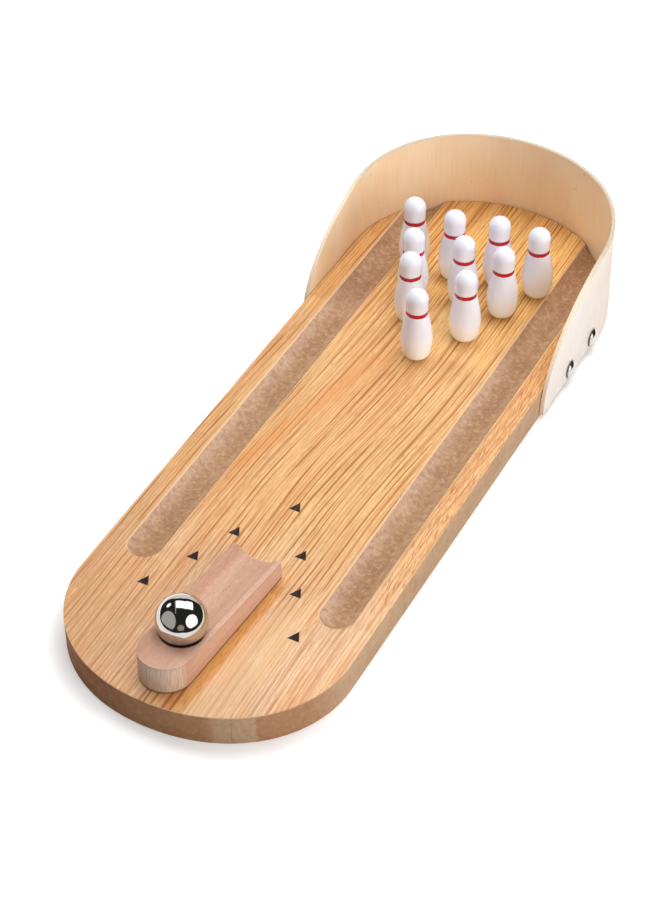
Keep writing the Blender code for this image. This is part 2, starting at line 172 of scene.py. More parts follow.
# Figure of the laminate
FIGURE_LEAN = 5.0
FIGURE_LEAN_SPAN = (-50.0, 60.0)
FIGURE_WAVES = (((0.012, 0.006, 0.0), (6.0, 0.0, 0.0)), ((0.10, 0.03, 0.0), (0.9, 0.0, 0.0)))
OAK_FRONT_SPAN = (-40.0, -95.0)
# The rear tone is partly the laminate's own and partly painted light against the shade of the band and pins
OAK_REAR_TONE_AND_LIGHT_SPAN = (20.0, 110.0)
OAK_LEFT_SPAN = (0.0, -45.0)
STRIP_SPAN = (42.0, 44.0)
STRIP_LINES_SPAN = (42.0, 43.0)
STRIP_FLECKS_SPAN = (-100.0, -70.0)
STRIP_FLECKS_LEAN = 0.18
LINES_SPAN = (-120.0, -50.0)
LINE_DRIFT = 0.3
LINE_WAVE = 0.006
LINE_SWAY = 2.4
LINE_SOFTNESS = 0.13
# How far apart the lines are, their width, their reach along the grain, the share of gaps, and their seed
FAINT_LINES = (1.25, 0.42, 30.0, 0.30, 6)
STRONG_LINES = (2.3, 0.62, 45.0, 0.38, 5)
# How many streaks a millimetre across and along, where their noise starts and is full, strength, seed, tone
OAK_STREAKS = (
    (0.06, 0.006, 0.45, 0.65, 0.25, 1, (226, 168, 108)),
    (0.20, 0.014, 0.50, 0.66, 0.45, 2, (220, 148, 84)),
    (0.45, 0.012, 0.47, 0.33, 0.40, 3, (250, 216, 160)),
    (0.80, 0.020, 0.52, 0.66, 0.40, 4, (206, 138, 80)),
    (3.0, 0.20, 0.47, 0.60, 0.30, 9, (200, 134, 80)),
    (3.0, 0.20, 0.45, 0.34, 0.30, 9, (255, 224, 172)),
)
PORES = (3.4, 0.18, 0.55, 0.66, 1.0, 6)
PORE_PATCHES = (0.15, 0.020, 0.42, 0.60, 1.0, 7)
STRIP_FLECKS = (2.0, 0.14, 0.52, 0.62, 0.80, 8)
RAMP_DASHES = (1.6, 0.20, 0.48, 0.62, 0.60, 11)
# The two ends of a broad streak, its half width, and how far it fades past its ends
CALM_STREAK = ((18.5, -150.0), (22.0, -92.0), 6.5, 10.0)
RAMP_STREAK = ((10.4, -150.0), (13.6, -80.0), 2.0, 8.0)
FOOT_STREAK = ((3.0, -160.0), (8.0, -115.0), 5.5, 6.0)
LANE_STREAK = ((-29.0, -42.0), (-11.0, 34.0), 3.0, 14.0)
STREAK_SOFTNESS = 1.2
# The place across and the half width of each dark line by the ramp's foot, and of the red band
FOOT_LINES = ((-2.0, 0.30), (-0.6, 0.30), (2.0, 0.20), (5.9, 0.40), (8.5, 0.45))
FOOT_BAND = (7.2, 1.5)
FOOT_SPAN = (-122.0, -134.0)
CHIP_REACH = 1.1
CHIPS_SPAN = (-84.0, -72.0)

# Fibreboard, birch, beech, paint and chrome
# Painted light and shade in the gutters: spans across them from their middles, and along the lane where the
# wall light fades
PAINTED_WALL_LIGHT_SPAN = (-0.5, -6.0)
PAINTED_WALL_LIGHT_FADE_SPAN = (75.0, 45.0)
PAINTED_RIGHT_WALL_LIGHT_SPAN = (2.0, 4.5)
PAINTED_GUTTER_SHADE_MIDDLE = 1.0
PAINTED_GUTTER_SHADE_SPAN = (2.8, 0.5)
# Painted shade on the sawn edge towards the left, and painted light on the board's right side
EDGE_PAINTED_SHADE_SPAN = (-45.0, 30.0)
EDGE_PAINTED_LIGHT_SPAN = (44.5, 50.5)
EDGE_FRONT_SPAN = (-120.0, -125.0)
PALE_PATCH = (22.5, 34.6)
SEAM_X = 27.0
SEAM_SPAN = (0.22, 0.08)
# The birch's tone towards the right end, which on the outside face is painted light
BAND_END_SPAN = (55.0, 100.0)
BAND_TOP_SPAN = (35.0, 41.0)
# Painted shade and shadow on the ramp: its left side, near the ball, the left of its ends, its foot and
# round the ball's seat
RAMP_LEFT_SHADE_SPAN = (-4.5, -6.5)
RAMP_BALL_SHADE_SPAN = (6.0, -4.0)
RAMP_ROUND_SPAN = (-1.0, -4.5)
RAMP_END_SKIN = (0.25, 0.10)
RAMP_END_SHADE_SPAN = (-9.0, 0.0)
RAMP_FOOT_SHADOW_SPAN = (0.75, 0.35)
SEAT_SHADOW_REACH = (0.9, 0.4)
PIN_RING_HEIGHT = 20.50
PIN_RING_WAVE = 0.3
PIN_RING_SOFTNESS = (0.22, 0.02)
PIN_RING_RIM_SPAN = (0.35, 0.75)
# Painted light towards the pins' feet
PIN_FOOT_LIGHT_SPAN = (14.0, 4.0)
# Painted shadow round the nail heads' rims
NAIL_RIM_SHADOW_SPAN = (0.65, 0.35)

# Camera and studio, in metres and degrees
CAMERA_PLACE = (0.27666, -0.54180, 0.54838)
CAMERA_AZIMUTH = 27.990
CAMERA_ELEVATION = 42.003
CAMERA_ROLL = -0.702
CAMERA_LENS = 91.95
WHITE = (1.0, 1.0, 1.0, 1.0)
WORLD_GREY = 0.06
FLOOR_GREY = 0.36
FLOOR_HALF = 3.0
# The floor's own glow for the camera: its start and end, in metres from the game, and its strength there
FLOOR_GLOW = (0.25, 0.70, 0.15, 0.90)
LAMP_DISTANCE = 1.2
# Each lamp's azimuth, elevation, size and level
LAMPS = {
    "umbrella": (80.0, 20.0, 0.9, 0.67),
    "softbox": (175.0, 65.0, 0.9, 0.71),
    "side": (-100.0, 37.0, 0.5, 0.37),
    "front": (28.0, 50.0, 0.9, 0.27),
}
DARK = (0.030, 0.027, 0.025, 1.0)
DOME_RADIUS = 1.6
DOME_COLUMNS = 72
DOME_ROWS = 8
CARD_STEPS = 48
# How high the white backdrop reaches at each azimuth, and where the white table ends
BACKDROP_TOP = ((-180, 22), (-156, 35), (-132, 31), (-118, 8), (-108, 0), (164, 0), (178, 20), (180, 22))
TABLE_Z = 0.001
TABLE_END = ((-3.0, -3.0), (3.0, -3.0), (3.0, -0.25), (-3.0, -0.25))
TABLE_SIDE = ((0.085, -0.25), (3.0, -0.25), (3.0, 1.8), (0.32, 1.8), (0.175, 0.20))
# The level cards' corners in directions from the ball, their height over it and their strength
SOFTBOX_CORNERS = ((-88, 70.5), (133, 73), (129, 42), (170, 29), (-166, 47.6), (-129, 41))
BOOM_CORNERS = ((-128, 38), (-90, 67), (-22, 63), (-21, 65), (-88, 70), (-127, 40))
LEVEL_CARDS = {
    "softbox_card": (SOFTBOX_CORNERS, 0.6, 2.0),
    "boom_card": (BOOM_CORNERS, 0.59, 0.7),
}
# The round cards' azimuth, elevation, half angle and distance from the ball, colour and strength
ROUND_CARDS = {
    "umbrella_card": (82.0, 22.0, 27.0, 1.2, WHITE, 2.0),
    "side_card": (-100.0, 34.0, 8.0, 1.2, WHITE, 2.0),
    "dim_card": (-35.0, 20.0, 36.0, 1.0, (0.95, 0.95, 0.90, 1.0), 0.60),
    "low_card": (28.0, 10.0, 14.0, 0.8, (0.95, 0.85, 0.60, 1.0), 0.45),
}


# Shapes


def add_object(name, mesh):
    thing = bpy.data.objects.new(name, mesh)
    bpy.context.scene.collection.objects.link(thing)
    return thing


def finish_mesh(mesh):
    mesh.shade_smooth()
    mesh.set_sharp_from_angle(angle=SMOOTH_ANGLE)


def mesh_from_shape(name, shape):
    bmesh.ops.remove_doubles(shape, verts=shape.verts, dist=MERGE_DISTANCE)
    bmesh.ops.recalc_face_normals(shape, faces=shape.faces)
    mesh = bpy.data.meshes.new(name)
    shape.to_mesh(mesh)
    shape.free()
    finish_mesh(mesh)
    return mesh


def join_rings(shape, rows):
    """Faces from each ring of points to the next, which has as many."""
    for row, following in zip(rows, rows[1:]):
        for i in range(len(row)):
            j = (i + 1) % len(row)
            shape.faces.new((row[i], row[j], following[j], following[i]))


def loft(name, rings):
    """A closed mesh through rings of as many points each, with a flat cap on the first and the last."""
    shape = bmesh.new()
    rows = [[shape.verts.new(point) for point in ring] for ring in rings]
    join_rings(shape, rows)
    shape.faces.new(rows[0])
    shape.faces.new(rows[-1])
    return mesh_from_shape(name, shape)


def lathe(name, profile, steps):
    """A closed mesh turned from (radius, height) points, whose first and last lie on the Z axis."""
    shape = bmesh.new()
    turns = [math.tau * i / steps for i in range(steps)]
    rows = []
    for radius, height in profile[1:-1]:
        rows.append([shape.verts.new((radius * math.cos(a), radius * math.sin(a), height)) for a in turns])
    join_rings(shape, rows)
    for end, row in ((profile[0], rows[0]), (profile[-1], rows[-1])):
        tip = shape.verts.new((0.0, 0.0, end[1]))
        for i in range(steps):
            shape.faces.new((tip, row[i], row[(i + 1) % steps]))
    return mesh_from_shape(name, shape)


def arc(centre_radius, centre_height, radius, start_degrees, end_degrees, steps):
    angles = np.radians(np.linspace(start_degrees, end_degrees, steps + 1))
    return [(centre_radius + radius * math.cos(a), centre_height + radius * math.sin(a)) for a in angles]


def half_circle(radius, steps):
    """A sphere's profile from top to bottom, its two ends exactly on the Z axis."""
    profile = arc(0.0, 0.0, radius, 90.0, -90.0, steps)
    profile[0] = (0.0, radius)
    profile[-1] = (0.0, -radius)
    return profile


def smooth_line(points, steps):
    """The points with a smooth curve through them, which keeps each one and the two end directions."""
    points = np.array(points)
    slopes = np.gradient(points, axis=0)
    line = []
    for i in range(len(points) - 1):
        for t in np.arange(steps) / steps:
            line.append(
                (2 * t ** 3 - 3 * t ** 2 + 1) * points[i] + (t ** 3 - 2 * t ** 2 + t) * slopes[i]
                + (3 * t ** 2 - 2 * t ** 3) * points[i + 1] + (t ** 3 - t ** 2) * slopes[i + 1]
            )
    return [tuple(point) for point in line] + [tuple(points[-1])]


def carve(thing, cutters):
    """Cuts the cutters out of a thing for good, and removes them."""
    for cutter in cutters:
        boolean = thing.modifiers.new(cutter.name, "BOOLEAN")
        boolean.operation = "DIFFERENCE"
        boolean.solver = "EXACT"
        boolean.object = cutter
    bake_modifiers(thing)
    for cutter in cutters:
        bpy.data.objects.remove(cutter, do_unlink=True)


def bake_modifiers(thing):
    bpy.context.view_layer.update()
    evaluated = thing.evaluated_get(bpy.context.evaluated_depsgraph_get())
    mesh = bpy.data.meshes.new_from_object(evaluated)
    mesh.name = thing.name
    thing.modifiers.clear()
    thing.data = mesh
    finish_mesh(mesh)


def drill(name, radius, start, heading, length):
    """A straight cutter from a point along a heading."""
    profile = [(0.0, length), (radius, length), (radius, 0.0), (0.0, 0.0)]
    cutter = add_object(name, lathe(name, profile, LATHE_STEPS // 2))
    turn = Vector(heading).to_track_quat("Z", "Y").to_matrix().to_4x4()
    cutter.matrix_world = Matrix.Translation(start) @ turn
    return cutter


def round_nosed_bit(name, radius, length):
    """A router bit on its own Z axis, its round nose centred on Z = 0 and pointing down."""
    profile = [(0.0, length), (radius, length)] + arc(0.0, 0.0, radius, 0.0, -90.0, BIT_STEPS // 4)
    return add_object(name, lathe(name, profile, BIT_STEPS))


# The board


def rounded_end(depth, fullness, sign):
    """One end of the board as a superellipse: the rear from +X to -X (sign 1), the front back again."""
    points = []
    for i in range(END_STEPS + 1):
        angle = math.pi * i / END_STEPS
        across = math.copysign(abs(math.cos(angle)) ** (2 / fullness), math.cos(angle))
        along = math.sin(angle) ** (2 / fullness) if 0 < i < END_STEPS else 0.0
        points.append((sign * across * BOARD_HALF_WIDTH, sign * along * depth))
    return points


def board_outline(inset=0.0):
    rear = [(x, REAR_START_Y + y) for x, y in rounded_end(REAR_DEPTH, REAR_FULLNESS, 1)]
    front = [(x, LANE_START_Y + y) for x, y in rounded_end(FRONT_DEPTH, FRONT_FULLNESS, -1)]
    points = np.array(rear + front)
    along = np.roll(points, -1, axis=0) - np.roll(points, 1, axis=0)
    along /= np.linalg.norm(along, axis=1)[:, None]
    return points - inset * np.column_stack((along[:, 1], -along[:, 0]))


def level_ring(z, inset):
    return [(x, y, z) for x, y in board_outline(inset)]


def gutter_bits():
    bits = []
    for side, x in (("left", -GUTTER_X), ("right", GUTTER_X)):
        bit = round_nosed_bit("gutter_bit_" + side, GUTTER_RADIUS, BOARD_HIGH.y - LANE_START_Y)
        bit.location = (x, GUTTER_NOSE_Y, DECK_Z - GUTTER_DEPTH + GUTTER_RADIUS)
        bit.rotation_euler = (math.radians(-90.0), 0.0, 0.0)
        bits.append(bit)
    return bits


def nail_names():
    return [name for name in frame["nodes"] if name.startswith("band_nail_")]


def nail_place(name):
    """Which side of the board a nail is on, and the point where its head meets the band."""
    low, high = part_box(name)
    side = math.copysign(1.0, low.x + high.x)
    head = max(abs(low.x), abs(high.x)) - NAIL_HEAD_RISE
    return side, Vector((side * head, (low.y + high.y) / 2, (low.z + high.z) / 2))


def nail_drills():
    drills = []
    for name in nail_names():
        side, seat = nail_place(name)
        start = seat + Vector((side * CUT_OVERRUN, 0.0, 0.0))
        length = NAIL_SHANK_LENGTH + FIT_GAP + CUT_OVERRUN
        drills.append(drill(name + "_hole", NAIL_SHANK_RADIUS + FIT_GAP, start, (-side, 0.0, 0.0), length))
    return drills


def axis_drill(name, radius, length):
    """A cutter on the ramp's swivel axis, from just under the board."""
    start = (RAMP_AXIS.x, RAMP_AXIS.y, -CUT_OVERRUN)
    return drill(name, radius + FIT_GAP, start, (0, 0, 1), length)


def swivel_drill():
    return axis_drill("swivel_hole", SCREW_SHANK_RADIUS, DECK_Z + 2 * CUT_OVERRUN)


def counterbore():
    depth = SCREW_LOW.z + SCREW_HEAD_HEIGHT + FIT_GAP
    return axis_drill("counterbore", SCREW_HEAD_RADIUS, depth + CUT_OVERRUN)


def make_board():
    """The fibreboard core, up to the underside of the laminate, with a lightly broken lower edge."""
    rings = []
    for i in range(EDGE_STEPS + 1):
        angle = math.pi / 2 * i / EDGE_STEPS
        up = BOARD_EDGE_ROUND * (1 - math.sin(angle))
        rings.append(level_ring(up, BOARD_EDGE_ROUND * (1 - math.cos(angle))))
    rings.reverse()
    rings.append(level_ring(VENEER_Z, 0.0))
    board = add_object("fibreboard_base", loft("fibreboard_base", rings))
    carve(board, gutter_bits() + nail_drills() + [swivel_drill(), counterbore()])
    board.data.materials.append(fibreboard_material())
    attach(board, "board")
    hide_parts("base_board")


def make_laminate():
    """The thin laminate on the core, its upper edge rounded, open at the gutters and at the screw."""
    rings = [level_ring(VENEER_Z, 0.0)]
    for down, inset in VENEER_EDGE_SHARES:
        rings.append(level_ring(DECK_Z - VENEER_EDGE_ROUND * down, VENEER_EDGE_ROUND * inset))
    laminate = add_object("oak_laminate_lane", loft("oak_laminate_lane", rings))
    carve(laminate, gutter_bits() + [swivel_drill()])
    laminate.data.materials.append(oak_material())
    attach(laminate, "board")
    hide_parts("lane_veneer")


# The backstop band


def rear_path():
    """The board's edge from the right side, round the rear, to the left side: points, outward normals, and
    the distance of each along the edge from the middle of the rear, positive towards +X."""
    right = np.array(((BOARD_HALF_WIDTH, LANE_START_Y), (BOARD_HALF_WIDTH, REAR_START_Y)))
    side = np.linspace(0.0, 1.0, SIDE_PATH_POINTS)[:, None]
    angles = np.linspace(0.0, math.pi, REAR_PATH_POINTS)
    rear = np.column_stack((np.cos(angles) * BOARD_HALF_WIDTH, REAR_START_Y + np.sin(angles) * REAR_DEPTH))
    right = right[0] + side * (right[1] - right[0])
    left = right[::-1] * np.array((-1.0, 1.0))
    points = np.vstack((right[:-1], rear, left[1:]))
    along = np.gradient(points, axis=0)
    along /= np.linalg.norm(along, axis=1)[:, None]
    normals = np.column_stack((along[:, 1], -along[:, 0]))
    lengths = np.concatenate(([0.0], np.cumsum(np.linalg.norm(np.diff(points, axis=0), axis=1))))
    return points, normals, lengths[-1] / 2 - lengths


def band_section(foot, top, ease):
    """One upright section of the strip as (outwards, up, face) points: the face after each point is 0 on
    the inside, 1 on a cut edge and 2 on the outside."""
    turn = [math.pi / 2 * i / EDGE_STEPS for i in range(EDGE_STEPS + 1)]
    points = [(ease * (1 - math.sin(a)), foot + ease * (1 - math.cos(a))) for a in turn]
    points += [(ease * (1 - math.cos(a)), top - ease * (1 - math.sin(a))) for a in turn]
    points += [(BAND_THICKNESS - outwards, up) for outwards, up in reversed(points)]
    faces = [1] * len(points)
    faces[EDGE_STEPS] = 0
    faces[3 * EDGE_STEPS + 2] = 2
    return [(outwards, up, face) for (outwards, up), face in zip(points, faces)]


def make_band():
    """A thin strip with tapering ends, wrapped on edge round the rear of the board. Its UV map holds the
    distance along the strip and the height, in metres, for the grain."""
    points, normals, distances = rear_path()
    height = BAND_HIGH.z - BAND_LOW.z
    shape = bmesh.new()
    grain = shape.loops.layers.uv.new("grain")
    sections = []
    for i in range(BAND_COLUMNS + 1):
        share = math.sin(math.pi / 2 * (2 * i / BAND_COLUMNS - 1))
        distance = BAND_SHIFT - share * BAND_HALF_LENGTH
        x, y = (np.interp(-distance, -distances, points[:, k]) for k in (0, 1))
        nx, ny = (np.interp(-distance, -distances, normals[:, k]) for k in (0, 1))
        top = BAND_LOW.z + height * math.sqrt(max(0.0, 1 - abs(share) ** BAND_TAPER_POWER))
        ease = min(BAND_EDGE_ROUND, (top - BAND_LOW.z) / 2)
        section = []
        for outwards, up, face in band_section(BAND_LOW.z, top, ease):
            out = FIT_GAP + outwards
            section.append((shape.verts.new((x + nx * out, y + ny * out, up)), (distance, up), face))
        sections.append(section)
    for section, following in zip(sections, sections[1:]):
        count = len(section)
        for k in range(count):
            corners = (section[k], section[(k + 1) % count], following[(k + 1) % count], following[k])
            face = shape.faces.new([corner[0] for corner in corners])
            face.material_index = section[k][2]
            for loop, corner in zip(face.loops, corners):
                loop[grain].uv = corner[1]
    mesh = mesh_from_shape("birch_backstop", shape)
    band = add_object("birch_backstop", mesh)
    # The outside face is paler and whiter than the inside: partly the strip's other face, partly painted
    # light where it looks out to the lamps
    mesh.materials.append(birch_material("birch_inside", (250, 226, 192), (247, 218, 180), (248, 222, 186)))
    mesh.materials.append(birch_edge_material())
    mesh.materials.append(birch_material("birch_outside", (249, 231, 216), (244, 223, 206), (254, 243, 234)))
    carve(band, nail_drills())
    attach(band, "board")
    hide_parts("backstop_band")


def make_nails():
    """Domed heads with a thin rim, on pointed shanks through the band into the board's sides."""
    dome_rise = NAIL_HEAD_RISE - NAIL_HEAD_RIM
    dome_radius = (NAIL_HEAD_RADIUS ** 2 + dome_rise ** 2) / (2 * dome_rise)
    edge_degrees = math.degrees(math.asin((dome_radius - dome_rise) / dome_radius))
    profile = arc(0.0, NAIL_HEAD_RISE - dome_radius, dome_radius, 90.0, edge_degrees, NAIL_DOME_STEPS)
    rim = NAIL_HEAD_RIM / 2
    profile += arc(NAIL_HEAD_RADIUS - rim, rim, rim, 0.0, -90.0, NAIL_RIM_STEPS)
    profile += [(NAIL_SHANK_RADIUS, 0.0), (NAIL_SHANK_RADIUS, NAIL_POINT_LENGTH - NAIL_SHANK_LENGTH)]
    profile += [(0.0, -NAIL_SHANK_LENGTH)]
    material = chrome_material()
    for name in nail_names():
        side, seat = nail_place(name)
        mesh = lathe(name + "_head", profile, LATHE_STEPS)
        nail = add_object(name.replace("band_nail", "dome_nail"), mesh)
        nail.matrix_world = Matrix.Translation(seat) @ Matrix.Rotation(side * math.radians(90.0), 4, "Y")
        nail.data.materials.append(material)
        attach(nail, "board")
        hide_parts(name)


# The launch ramp, its screw and the ball


def ramp_matrix():
    """The ramp's own frame: +Y along the ramp, the origin on its swivel axis at its underside."""
    return Matrix.Translation((RAMP_AXIS.x, RAMP_AXIS.y, RAMP_STAND)) @ Matrix.Rotation(RAMP_TURN, 4, "Z")


def ramp_top(reach):
    return RAMP_LOW_END + (RAMP_EXIT_REACH - reach) * math.tan(RAMP_SLOPE_ANGLE)


def ramp_outline():
    points = [(RAMP_HALF_WIDTH, RAMP_EXIT_REACH), (-RAMP_HALF_WIDTH, RAMP_EXIT_REACH)]
    return points + arc(0.0, 0.0, RAMP_HALF_WIDTH, 180.0, 360.0, END_STEPS // 2)


def make_ramp():
    """A sloping block with a round near end, the ball's groove and seat, and a pilot hole for the screw."""
    outline = ramp_outline()
    rings = [[(x, y, 0.0) for x, y in outline], [(x, y, ramp_top(y)) for x, y in outline]]
    ramp = add_object("beech_ramp", loft("beech_ramp", rings))
    centre = ramp_matrix().inverted() @ BALL_PLACE
    bit = round_nosed_bit("ramp_groove_bit", GROOVE_RADIUS, RAMP_EXIT_REACH)
    above_top = (GROOVE_RADIUS - GROOVE_DEPTH) / math.cos(RAMP_SLOPE_ANGLE)
    bit.location = (0.0, centre.y, ramp_top(centre.y) + above_top)
    bit.rotation_euler = (math.radians(-90.0) - RAMP_SLOPE_ANGLE, 0.0, 0.0)
    seat_profile = half_circle(BALL_RADIUS + FIT_GAP, BIT_STEPS // 2)
    seat = add_object("ball_seat", lathe("ball_seat", seat_profile, BIT_STEPS))
    seat.location = centre
    pilot = drill("ramp_pilot_hole", SCREW_SHANK_RADIUS + FIT_GAP, (0.0, 0.0, -CUT_OVERRUN), (0, 0, 1),
                  SCREW_BITE + FIT_GAP + CUT_OVERRUN)
    carve(ramp, [bit, seat, pilot])
    rounding = ramp.modifiers.new("Eased edges", "BEVEL")
    rounding.width = RAMP_EDGE_ROUND
    rounding.segments = RAMP_EDGE_STEPS
    rounding.limit_method = "ANGLE"
    rounding.angle_limit = SMOOTH_ANGLE
    bake_modifiers(ramp)
    ramp.data.materials.append(beech_material())
    ramp.matrix_world = ramp_matrix()
    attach(ramp, "ramp")
    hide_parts("launch_ramp")


def make_screw():
    """A round-headed wood screw with a cross recess, its head down."""
    head_z = SCREW_LOW.z - RAMP_STAND
    shank_z = head_z + SCREW_HEAD_HEIGHT
    edge = SCREW_HEAD_HEIGHT / 2
    profile = [(0.0, SCREW_BITE), (SCREW_SHANK_RADIUS, SCREW_BITE - SCREW_POINT_LENGTH)]
    profile += [(SCREW_SHANK_RADIUS, shank_z), (SCREW_HEAD_RADIUS, shank_z)]
    profile += arc(SCREW_HEAD_RADIUS - edge, head_z + edge, edge, 0.0, -90.0, SCREW_HEAD_STEPS)
    profile += [(0.0, head_z)]
    screw = add_object("swivel_screw", lathe("swivel_screw", profile, LATHE_STEPS))
    bars = []
    for name, x, y in (("cross_along", SCREW_CROSS_HALF_WIDTH, SCREW_CROSS_REACH),
                       ("cross_over", SCREW_CROSS_REACH, SCREW_CROSS_HALF_WIDTH)):
        rings = []
        for z, share in ((head_z - CUT_OVERRUN, 1.0), (head_z + SCREW_CROSS_DEPTH, SCREW_CROSS_TAPER)):
            rings.append([(x * share, y * share, z), (-x * share, y * share, z),
                          (-x * share, -y * share, z), (x * share, -y * share, z)])
        bars.append(add_object(name, loft(name, rings)))
    carve(screw, bars)
    screw.data.materials.append(zinc_material())
    screw.matrix_world = ramp_matrix()
    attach(screw, "ramp")
    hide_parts("ramp_pivot_screw")


def make_ball():
    mesh = lathe("polished_ball", half_circle(BALL_RADIUS, BALL_STEPS), 2 * BALL_STEPS)
    ball = add_object("polished_ball", mesh)
    ball.location = BALL_PLACE
    ball.data.materials.append(steel_material())
    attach(ball, "ball")
    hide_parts("steel_ball")


# The pins


def pin_profile(height):
    """From the top of the domed head, down over the neck and the belly, to the flat foot."""
    neck = height * PIN_NECK_HEIGHT_SHARE
    dome_z = height - PIN_HEAD_RADIUS
    dome = arc(0.0, dome_z, PIN_HEAD_RADIUS, 90.0, 0.0, PIN_DOME_STEPS)
    waist = [(PIN_HEAD_RADIUS, dome_z), (PIN_NECK_RADIUS, neck + PIN_RING_WIDTH / 2)]
    waist += [(PIN_NECK_RADIUS, neck - PIN_RING_WIDTH / 2)]
    body = [(radius * PIN_BELLY_RADIUS, z * height) for radius, z in reversed(PIN_BODY_SHARES)]
    line = smooth_line(waist + body, CURVE_STEPS)
    foot_radius = body[-1][0]
    foot = [(foot_radius - PIN_FOOT_ROUND, 0.0), (0.0, 0.0)]
    return [(0.0, height)] + dome[1:-1] + line[:-1] + [(foot_radius, PIN_FOOT_ROUND / 2)] + foot


def make_pins():
    material = white_paint_material()
    for number in range(1, PIN_COUNT + 1):
        node = "pin_" + str(number)
        low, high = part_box(node)
        mesh = lathe("bowling_" + node, pin_profile(high.z - low.z), LATHE_STEPS)
        mesh.materials.append(material)
        pin = add_object("bowling_" + node, mesh)
        pin.location = ((low.x + high.x) / 2, (low.y + high.y) / 2, low.z)
        pin.rotation_euler = (0.0, 0.0, math.radians(PIN_TURN_DEGREES * number))
        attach(pin, "standing_" + node)
        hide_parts(node)


# Materials


def rgb(red, green, blue):
    """A colour from 0 to 255, as the shaders read it."""
    def linear(value):
        share = value / 255
        return share / 12.92 if share <= 0.04045 else ((share + 0.055) / 1.055) ** 2.4
    return (linear(red), linear(green), linear(blue), 1.0)


def add_node(tree, kind, inputs, **settings):
    """A shader node with its settings, and with each input linked to a socket or set to a value."""
    node = tree.nodes.new("ShaderNode" + kind)
    for name, value in settings.items():
        setattr(node, name, value)
    for key, value in inputs.items():
        if isinstance(value, bpy.types.NodeSocket):
            tree.links.new(value, node.inputs[key])
        elif value is not None:
            node.inputs[key].default_value = value
    return node


def add(kind, inputs, **settings):
    """A shader node beside the one that its first linked input comes from."""
    sockets = [value for value in inputs.values() if isinstance(value, bpy.types.NodeSocket)]
    return add_node(sockets[0].id_data, kind, inputs, **settings)


def parts(place):
    return add("SeparateXYZ", {0: place}).outputs


def vector(x, y, z):
    return add("CombineXYZ", {0: x, 1: y, 2: z}).outputs[0]


def stretch(place, factors):
    return add("VectorMath", {0: place, 1: factors}, operation="MULTIPLY").outputs[0]


def shift(place, other):
    return add("VectorMath", {0: place, 1: other}, operation="ADD").outputs[0]


def size_of(place):
    return add("VectorMath", {0: place}, operation="LENGTH").outputs["Value"]


def calc(operation, first, second=None):
    return add("Math", {0: first, 1: second}, operation=operation).outputs[0]


def times(product, *others):
    for other in others:
        product = calc("MULTIPLY", product, other)
    return product


def highest(most, *others):
    for other in others:
        most = calc("MAXIMUM", most, other)
    return most


def apart(value, middle):
    """How far a value is from a middle, on either side."""
    return calc("ABSOLUTE", calc("SUBTRACT", value, middle))


def noise(place, factors, detail=2.0, roughness=0.5, colour=False):
    """Noise with so many features a millimetre along each axis, from 0 to 1."""
    inputs = {"Vector": stretch(place, factors), "Scale": 1.0, "Detail": detail, "Roughness": roughness}
    return add("TexNoise", inputs).outputs[1 if colour else 0]


def step(value, low, high, start=0.0, end=1.0):
    """From start to end, softly, as the value goes from low to high."""
    inputs = {0: value, 1: low, 2: high, 3: start, 4: end}
    return add("MapRange", inputs, interpolation_type="SMOOTHSTEP").outputs[0]


def mix(factor, first, second):
    return add("Mix", {0: factor, 6: first, 7: second}, data_type="RGBA").outputs[2]


def wobble(place, factors, reach):
    """The places moved about by a slow noise, by up to half the reach along each axis."""
    slow = shift(noise(place, factors, colour=True), (-0.5, -0.5, -0.5))
    return shift(place, stretch(slow, reach))


class Finish:
    """A material, its places in millimetres, and the colour that its nodes have built up so far."""

    def __init__(self, name, tone, metallic=0.0, uv_map=None):
        self.material = bpy.data.materials.new(name)
        self.material.use_nodes = True
        self.tree = self.material.node_tree
        self.shader = self.tree.nodes["Principled BSDF"]
        self.shader.inputs["Metallic"].default_value = metallic
        self.colour = rgb(*tone)
        if uv_map:
            metres = add_node(self.tree, "UVMap", {}, uv_map=uv_map).outputs["UV"]
        else:
            metres = add_node(self.tree, "TexCoord", {}).outputs["Object"]
        self.place = stretch(metres, (MM, MM, MM))
        self.across, self.along, self.up = parts(self.place)

    def normal_z(self):
        return parts(add_node(self.tree, "NewGeometry", {}).outputs["Normal"])[2]

    def tint(self, factor, tone, strength=None):
        """Lays a tone over the colour so far, where the factor is 1."""
        if strength is not None:
            factor = times(factor, strength)
        self.colour = mix(factor, self.colour, rgb(*tone))

    def shade(self, value, low, high, tone, strength=1.0):
        """Lays a tone over the colour so far, more and more as a value goes from low to high."""
        self.tint(step(value, low, high, 0.0, strength), tone)

    def drive(self, socket, value):
        self.tree.links.new(value, self.shader.inputs[socket])

    def roughen(self, value, low, high, start, end):
        self.drive("Roughness", step(value, low, high, start, end))

    def done(self, height, depth):
        """The material, with its colour and with relief from a height of 0 to 1 over a depth."""
        self.drive("Base Color", self.colour)
        self.drive("Normal", add("Bump", {"Height": height, "Distance": depth / MM}).outputs[0])
        return self.material


def seeded(place, seed):
    """The places shifted, so that each seed has a figure of its own."""
    return shift(place, (31.0 * seed, 47.0 * seed, 0.0))


def streaks(place, across, along, low, high, strength, seed):
    """Soft streaks along Y, so many a millimetre across and along: how strong each place of them is."""
    pattern = noise(seeded(place, seed), (across, along, 0.0), 2.0, 0.6)
    return step(pattern, low, high, 0.0, strength)


